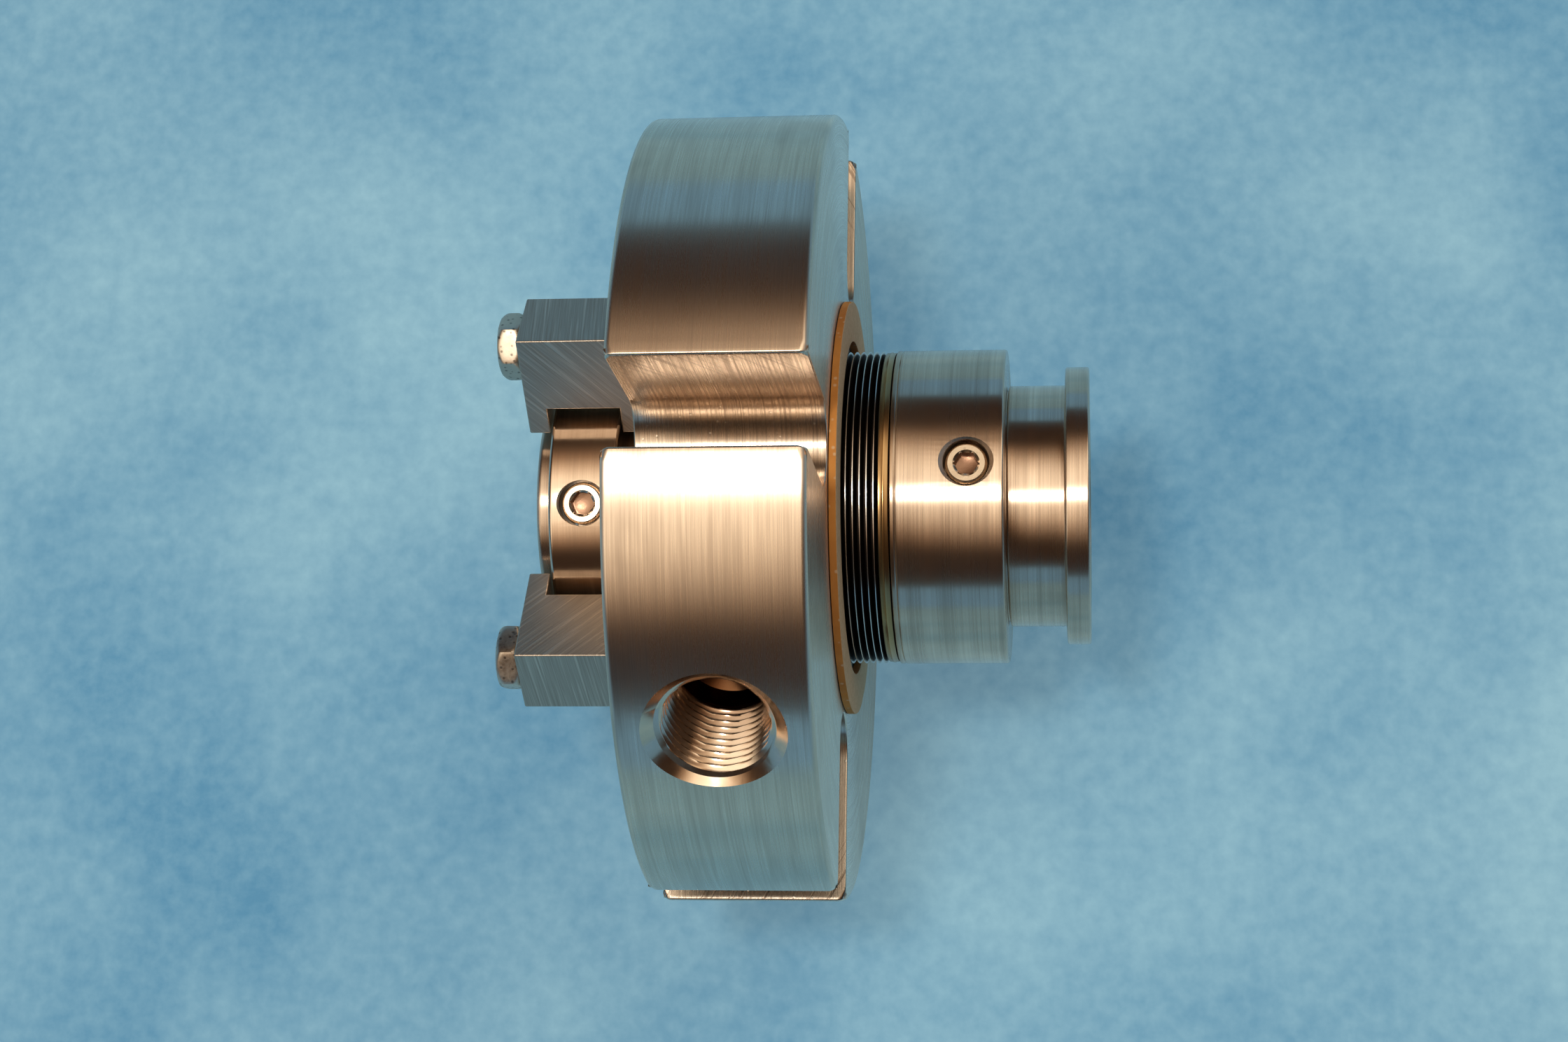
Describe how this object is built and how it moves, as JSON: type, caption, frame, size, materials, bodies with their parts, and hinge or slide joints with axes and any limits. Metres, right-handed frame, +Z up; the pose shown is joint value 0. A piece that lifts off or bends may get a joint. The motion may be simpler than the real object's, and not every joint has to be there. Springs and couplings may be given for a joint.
{
  "type": "cartridge bellows shaft seal",
  "caption": "Cartridge shaft seal with a slotted gland plate, flush port, welded metal bellows on a sleeve, drive collar and setting clips.",
  "frame": {"origin": "on the shaft axis, in the plane of the gland plate's inboard face that bolts to the pump", "axes": "+X along the shaft towards the pump, +Z up through one of the bolt slots, +Y completes a right-handed frame; the seal stands on its rim with -Z down"},
  "size_m": [0.1086, 0.1492, 0.1492],
  "materials": {
    "turned_steel": "turned stainless steel, fine lines round the shaft axis",
    "collar_steel": "satin stainless steel, smoother and darker than the gland",
    "ground_steel": "stainless steel with coarse grinding marks",
    "fastener_steel": "plain stainless fasteners, slightly pitted",
    "bellows_steel": "thin bright alloy discs welded at their edges",
    "gasket_fibre": "matte compressed fibre, orange-brown at its edge",
    "carbon": "satin carbon graphite",
    "ceramic": "dark lapped silicon carbide",
    "elastomer": "matte black"
  },
  "bodies": {
    "gland": {"gland_plate": "turned_steel", "gland_gasket": "gasket_fibre", "mating_ring": "ceramic", "mating_ring_seal": "elastomer", "anti_rotation_pin": "fastener_steel", "throttle_bushing": "carbon", "retaining_ring": "fastener_steel", "clip_screw_1": "fastener_steel", "clip_screw_2": "fastener_steel", "clip_screw_3": "fastener_steel", "clip_screw_4": "fastener_steel"},
    "rotor": {"shaft_sleeve": "turned_steel", "sleeve_o_ring": "elastomer", "drive_collar": "collar_steel", "collar_set_screw_1": "fastener_steel", "collar_set_screw_2": "fastener_steel", "collar_set_screw_3": "fastener_steel", "collar_set_screw_4": "fastener_steel", "bellows_holder": "turned_steel", "holder_o_ring": "elastomer", "holder_set_screw_1": "fastener_steel", "holder_set_screw_2": "fastener_steel", "holder_set_screw_3": "fastener_steel", "bellows_core": "bellows_steel"},
    "sealing_face": {"face_shell": "turned_steel", "primary_ring": "carbon"},
    "clip_1": {"setting_clip_1": "ground_steel"},
    "clip_2": {"setting_clip_2": "ground_steel"},
    "clip_3": {"setting_clip_3": "ground_steel"},
    "clip_4": {"setting_clip_4": "ground_steel"}
  },
  "joints": [
    {"name": "shaft_spin", "type": "hinge", "parent": "gland", "child": "rotor", "pos_m": [0, 0, 0], "axis": [1, 0, 0], "continuous": true},
    {"name": "bellows_travel", "type": "slide", "parent": "rotor", "child": "sealing_face", "axis": [1, 0, 0], "range_m": [0, 0.002], "stiffness_N_per_m": 20000, "springref_m": -0.0005, "deforming": ["bellows_core"]},
    {"name": "clip_1_swing", "type": "hinge", "parent": "gland", "child": "clip_1", "pos_m": [-0.046, 0.02363, 0.03102], "axis": [1, 0, 0], "range_deg": [0, 180]},
    {"name": "clip_2_swing", "type": "hinge", "parent": "gland", "child": "clip_2", "pos_m": [-0.046, -0.03322, 0.02043], "axis": [1, 0, 0], "range_deg": [0, 180]},
    {"name": "clip_3_swing", "type": "hinge", "parent": "gland", "child": "clip_3", "pos_m": [-0.046, -0.02363, -0.03102], "axis": [1, 0, 0], "range_deg": [0, 180]},
    {"name": "clip_4_swing", "type": "hinge", "parent": "gland", "child": "clip_4", "pos_m": [-0.046, 0.03322, -0.02043], "axis": [1, 0, 0], "range_deg": [0, 180]}
  ]
}
